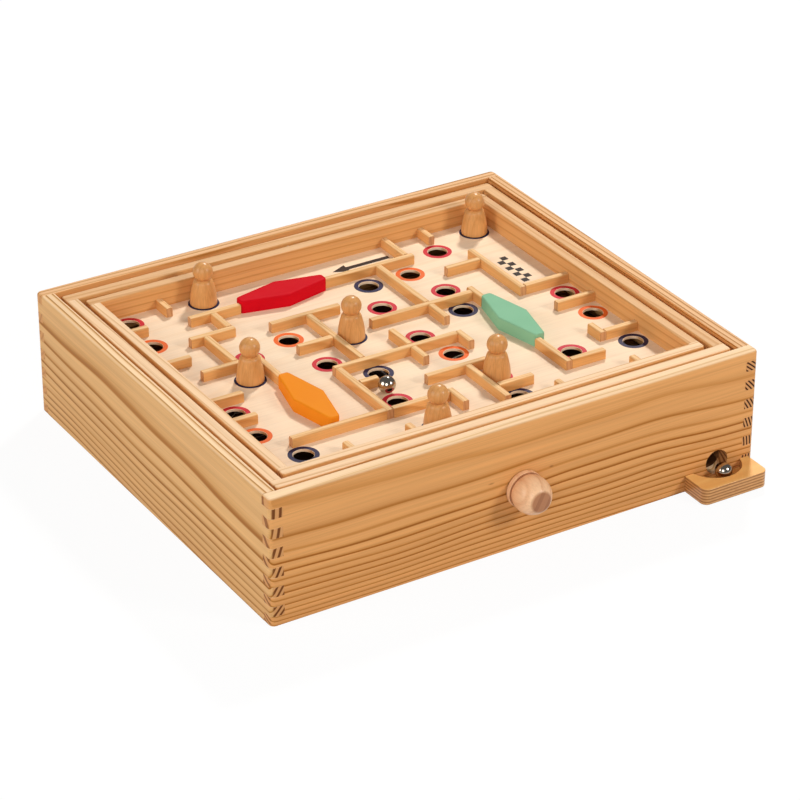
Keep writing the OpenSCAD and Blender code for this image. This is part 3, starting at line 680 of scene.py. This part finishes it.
head_turns = [head_start + k * (math.pi - head_start) / HEAD_STEPS for k in range(HEAD_STEPS)]
head_curve = [(HEAD_R * math.sin(a), HEAD_Z - HEAD_R * math.cos(a)) for a in head_turns]
PAWN = ([(0, SPIGOT_Z), (SPIGOT_R - 0.5, SPIGOT_Z), (SPIGOT_R, SPIGOT_Z + 0.5), (SPIGOT_R, 0.0),
         (FOOT_R - 0.8, 0.0), (FOOT_R - 0.2, 0.25)]
        + body_curve + SHOULDER + head_curve + [(0, HEAD_Z + HEAD_R)])
varnished_beech = wood("varnished_beech", "Z", (60, -400), 3.2, BEECH, BEECH_LATE, BEECH, BEECH_LATE,
                       wander=2, strong=0.3, faint=0.05, mottle=0.35, fibre=0.09, rough=0.4,
                       Coat_Weight=0.45, Coat_Roughness=0.28)
for i, spot in enumerate(pawn_spots, 1):
    node = f"pawn_{i}"
    foot = Vector((spot.x, spot.y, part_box(node)[0].z - SPIGOT_Z * MM))
    pawn = bmesh.new()
    turned(pawn, [foot + Vector((r * MM, 0, z * MM)) for r, z in PAWN], foot, (0, 0, 1))
    set_piece(pawn, node + "_beech", node, "beech", varnished_beech, node)

# Balls: two polished 12 mm steel balls, one on the maze board and one back in the catch tray.
# They are loose and roll freely.
BALL_SIDES, BALL_BANDS = 64, 32
# The balls' steel is tinted warm, a painted reflection of the wood round them.
ball_steel = steel("ball_steel", colour(190, 180, 168), colour(156, 146, 134), 0.1, [90.0, 90.0, 90.0])
for node in ("maze_ball", "outlet_ball"):
    low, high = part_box(node)
    ball = bmesh.new()
    bmesh.ops.create_uvsphere(ball, u_segments=BALL_SIDES, v_segments=BALL_BANDS,
                              radius=(high.z - low.z) / 2, matrix=Matrix.Translation((low + high) / 2))
    set_piece(ball, node + "_steel", node, "ball_steel", ball_steel, node)

# Knobs and shafts: a turned beech knob on the end of each steel shaft, with a foot disc at the wall.
# A steel collar inside the wall keeps the shaft in place. KNOB lists (radius, distance from the wall).
KNOB_R, KNOB_L, FOOT_T, FLAT_R = 13.0, 22.0, 3.8, 6.1
BELLY_Z, BELLY_HALF, BELLY_TURN = 10.0, 13.9, range(-24, 57, 5)
ROD_SOFT = 0.4
KNOB_PALE = colour(255, 208, 164)
KNOB_LATE = colour(232, 172, 128)
KNOB_END = colour(180, 124, 86)
KNOB_END_LATE = colour(156, 102, 68)
belly_curve = [(KNOB_R * math.cos(a), BELLY_Z + BELLY_HALF * math.sin(a))
               for a in map(math.radians, BELLY_TURN)]
KNOB = ([(0, 0), (KNOB_R - 0.8, 0), (KNOB_R - 0.25, 0.25), (KNOB_R, 0.8), (KNOB_R, FOOT_T - 0.8),
         (KNOB_R - 0.3, FOOT_T - 0.2), (KNOB_R - 1.0, FOOT_T), (KNOB_R - 1.5, FOOT_T + 0.15)]
        + belly_curve
        + [(FLAT_R + 0.25, KNOB_L - 0.25), (FLAT_R - 0.4, KNOB_L), (0, KNOB_L)])
shaft_steel = steel("shaft_steel", colour(186, 186, 190), colour(120, 120, 124), 0.32,
                    [500.0, 500.0, 500.0])
for side, length, out, across in (("front", "Y", Vector((0, -1, 0)), Vector((1, 0, 0))),
                                  ("side", "X", Vector((1, 0, 0)), Vector((0, 1, 0)))):
    body = side + "_shaft"
    low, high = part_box(side + "_knob")
    middle = (low + high) / 2
    wall = middle - out * KNOB_L / 2 * MM
    pith = (400, middle.z / MM - 230)
    beech = wood("beech_" + side, length, pith, 7.5, KNOB_PALE, KNOB_LATE, KNOB_END, KNOB_END_LATE,
                 wander=2, strong=0.7, faint=0.4, mottle=0.2, rough=0.42, Coat_Weight=0.35,
                 Coat_Roughness=0.2)
    knob = bmesh.new()
    turned(knob, [wall + across * r * MM + out * z * MM for r, z in KNOB], wall, out)
    set_piece(knob, side + "_knob_beech", body, "beech", beech, side + "_knob")
    for node in (side + "_shaft", side + "_collar"):
        eased_node(node, "_steel", body, "steel", shaft_steel, ROD_SOFT)

# Drive cords: a waxed cord takes a few turns round each shaft and runs to screw eyes under the rails.
# A tension spring at one end keeps it tight. Turning a knob winds one side in and lets the other out.
CORD, WIND_TURNS, WIND_R = 1.2, 5, 3.6
LOOP_R, LOOP_WIRE, LINK_STEP = 2.4, 1.1, 3.0
SPRING_R, SPRING_WIRE, SPRING_L, SPRING_TURNS, HOOK_L = 1.9, 0.8, 20.0, 20, 1.5
EYE_SIDE, EYE_HALF_WIRE = 1.5, 0.8
CORD_GAP, TURN_GAP = 0.3, 0.05
WIRE_SIDES, COIL_STEPS, LINK_STEPS, BENDS = 8, 20, 24, 14


def twisted(name, tint, shade):
    """Waxed cord: fine mottled strands with a soft, matt surface."""
    finish = Finish(name)
    strands = finish.noise([900.0, 900.0, 900.0], detail=3.0)
    tone = finish.mix(finish.span(strands, 0.35, 0.65), tint, shade)
    return finish.surface(tone, 0.8, strands, GRAIN_DEPTH)


def coil(bm, start, axis, radius, wire, pitch, turns):
    """A helical tube that starts at a point on an axis."""
    axis = axis.normalized()
    aside = axis.orthogonal().normalized()
    turn = Matrix((aside, axis, aside.cross(axis))).transposed().to_4x4()
    made = bmesh.ops.create_circle(bm, cap_ends=False, segments=WIRE_SIDES, radius=wire / 2 * MM,
                                   matrix=Matrix.Translation(start + aside * radius * MM) @ turn)
    edges = {e for v in made["verts"] for e in v.link_edges}
    steps = turns * COIL_STEPS
    bmesh.ops.spin(bm, geom=made["verts"] + list(edges), cent=start, axis=axis, angle=math.tau * turns,
                   steps=steps, dvec=axis * pitch * turns / steps * MM)
    bmesh.ops.holes_fill(bm, edges=[e for e in bm.edges if e.is_boundary])
    bmesh.ops.recalc_face_normals(bm, faces=bm.faces)


def link(bm, centre, axis, wire):
    """A closed loop of wire or cord round an axis."""
    aside = axis.orthogonal().normalized()
    profile = [centre + aside * (LOOP_R + wire / 2 * math.cos(a)) * MM + axis * wire / 2 * math.sin(a) * MM
               for a in [k * math.tau / WIRE_SIDES for k in range(WIRE_SIDES)]]
    turned(bm, profile, centre, axis, LINK_STEPS)


def stretch(bm, start, way, length, wire):
    """A straight run of wire or cord, ringed often enough to bend."""
    turn = way.to_track_quat("Z", "Y").to_matrix().to_4x4()
    made = bmesh.ops.create_cone(bm, cap_ends=True, segments=WIRE_SIDES, radius1=wire / 2 * MM,
                                 radius2=wire / 2 * MM, depth=length * MM,
                                 matrix=Matrix.Translation(start + way * length / 2 * MM) @ turn)
    runs = {e for v in made["verts"] for e in v.link_edges if e.calc_length() > length * MM * 0.9}
    bmesh.ops.subdivide_edges(bm, edges=list(runs), cuts=BENDS)


cord_white = twisted("cord_white", colour(226, 218, 198), colour(186, 174, 148))
for side, axis in (("front", Vector((0, 1, 0))), ("side", Vector((1, 0, 0)))):
    low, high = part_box(side + "_winding")
    start = (low + high) / 2 - axis * (WIND_TURNS * CORD / 2) * MM
    winding = bmesh.new()
    coil(winding, start, axis, WIND_R, CORD - TURN_GAP, CORD, WIND_TURNS)
    set_piece(winding, side + "_winding_cord", side + "_shaft", "cord", cord_white, side + "_winding")
for group, shaft, inwards, bodies, sprung in (
        ("frame", "side", Vector((0, 1, 0)), ("box", "outer_frame"), "back"),
        ("tray", "front", Vector((1, 0, 0)), ("outer_frame", "tray"), "left")):
    eyes = solid_copy(group + "_eyes")
    set_piece(eyes, group + "_eyes_steel", bodies[1], "steel", shaft_steel, group + "_eyes")
    low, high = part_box(group + "_eyes")
    middle = (low + high) / 2
    shaft_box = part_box(shaft + "_winding")
    shaft_z = (shaft_box[0].z + shaft_box[1].z) / 2
    reach = (high - low).dot(inwards) / 2 - (LOOP_R + EYE_HALF_WIRE) * MM
    ring_z = low.z + (LOOP_R + EYE_HALF_WIRE) * MM
    across = inwards.cross(Vector((0, 0, 1)))
    slope = math.atan2(ring_z - shaft_z, reach)
    slope += math.asin(WIND_R * MM / math.hypot(reach, ring_z - shaft_z))
    tangent = math.sqrt(reach ** 2 + (ring_z - shaft_z) ** 2 - (WIND_R * MM) ** 2) / MM
    stop = math.sqrt((WIND_R + CORD / 2 + CORD_GAP) ** 2 - (WIND_R - CORD / 2) ** 2)
    for end in (("front", "back") if group == "frame" else ("left", "right")):
        sign = -1 if end in ("front", "left") else 1
        way = (-sign * inwards * math.cos(slope) - Vector((0, 0, math.sin(slope)))).normalized()
        aside = Vector((EYE_SIDE, 0, 0)) if group == "frame" else Vector((0, EYE_SIDE, 0))
        eye = Vector((middle.x, middle.y, ring_z)) + sign * (inwards * reach + aside * MM)
        level = way.cross(across).normalized()
        begin = LINK_STEP
        if end == sprung:
            far = LINK_STEP + 2 * (LOOP_R + HOOK_L) + SPRING_L
            spring = bmesh.new()
            for at in (LINK_STEP, far):
                link(spring, eye + way * at * MM, level, LOOP_WIRE)
            coil(spring, eye + way * (LINK_STEP + LOOP_R + HOOK_L) * MM, way, SPRING_R, SPRING_WIRE,
                 SPRING_L / SPRING_TURNS, SPRING_TURNS)
            for at in (LINK_STEP + LOOP_R, far - LOOP_R - HOOK_L):
                stretch(spring, eye + way * at * MM, way, HOOK_L, LOOP_WIRE)
            set_piece(spring, group + "_spring_steel", bodies[1], "steel", shaft_steel, group + "_spring")
            begin = far + LINK_STEP
        cord = bmesh.new()
        link(cord, eye + way * begin * MM, across if end == sprung else level, LOOP_WIRE)
        stretch(cord, eye + way * (begin + LOOP_R) * MM, way, tangent - stop - begin - LOOP_R, CORD)
        line = finished(cord, f"{group}_cord_{end}", "cord", cord_white, group + "_cord")
        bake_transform(line)

# Stage: a pale paper floor, a small key light high behind the right corner, and broad light from the
# front, left and right, with the camera at the photograph's angle.
LOOK_AT = Vector((0, 0, 46.6)) * MM
EYE = Vector((-1003.2, -1648.2, 1116.3)) * MM
PAPER_HALF, PAPER_GREY, PAPER_WHITE, PAPER_SHARE = 6.0, 0.65, 1.06, 0.88
SKY = 0.15
floor_mesh = bpy.data.meshes.new("floor")
bm = bmesh.new()
bmesh.ops.create_grid(bm, x_segments=1, y_segments=1, size=PAPER_HALF)
bm.to_mesh(floor_mesh)
bm.free()
floor = bpy.data.objects.new("floor", floor_mesh)
bpy.context.scene.collection.objects.link(floor)
paper = Finish("floor_paper")
tree = paper.tree
paper.surface(grey(PAPER_GREY), 0.9)
rays = tree.nodes.new("ShaderNodeLightPath").outputs
seen = paper.math("MAXIMUM", rays["Is Camera Ray"],
                  paper.math("MAXIMUM", rays["Is Glossy Ray"], rays["Is Transmission Ray"]))
white = paper.add("Emission", {"Color": grey(1.0), "Strength": PAPER_WHITE})
share = paper.math("MULTIPLY", seen, PAPER_SHARE)
blended = paper.add("MixShader", {0: share, 1: paper.shader.outputs[0], 2: white})
tree.links.new(blended, tree.nodes["Material Output"].inputs["Surface"])
floor_mesh.materials.append(paper.material)


def lamp(name, spot, size, watts, tint):
    """A round soft lamp that is aimed at the middle of the box."""
    data = bpy.data.lights.new(name, "AREA")
    data.shape = "DISK"
    data.size = size
    data.energy = watts
    data.color = tint
    light = bpy.data.objects.new(name, data)
    light.location = spot
    light.rotation_euler = (LOOK_AT - Vector(spot)).to_track_quat("-Z", "Y").to_euler()
    bpy.context.scene.collection.objects.link(light)


lamp("key", (1.0, 0.92, 1.6), 0.22, 26.0, (1.0, 0.98, 0.94))
lamp("front_fill", (-1.1, -1.5, 1.0), 1.0, 11.3, (1.0, 0.96, 0.91))
lamp("right_fill", (1.0, -1.5, 1.1), 0.6, 16.0, (1.0, 0.96, 0.91))
lamp("left_fill", (-1.8, 0.1, 0.8), 1.2, 14.6, (1.0, 0.97, 0.93))
lamp("back_sheen", (0.9, 1.9, 1.1), 1.4, 2.5, (1.0, 0.98, 0.95))
world = bpy.data.worlds.new("studio")
bpy.context.scene.world = world
world.use_nodes = True
sky = world.node_tree.nodes["Background"]
sky.inputs["Color"].default_value = grey(1.0)
sky.inputs["Strength"].default_value = SKY
bpy.context.scene.view_settings.view_transform = "Standard"
camera_data = bpy.data.cameras.new("camera")
camera_data.sensor_width = 36.0
camera_data.lens = 146.5
camera_data.shift_x = 0.0111
camera_data.shift_y = -0.0261
camera_data.clip_end = 20.0
camera = bpy.data.objects.new("camera", camera_data)
camera.location = EYE
camera.rotation_euler = (LOOK_AT - EYE).to_track_quat("-Z", "Y").to_euler()
bpy.context.scene.collection.objects.link(camera)
bpy.context.scene.camera = camera
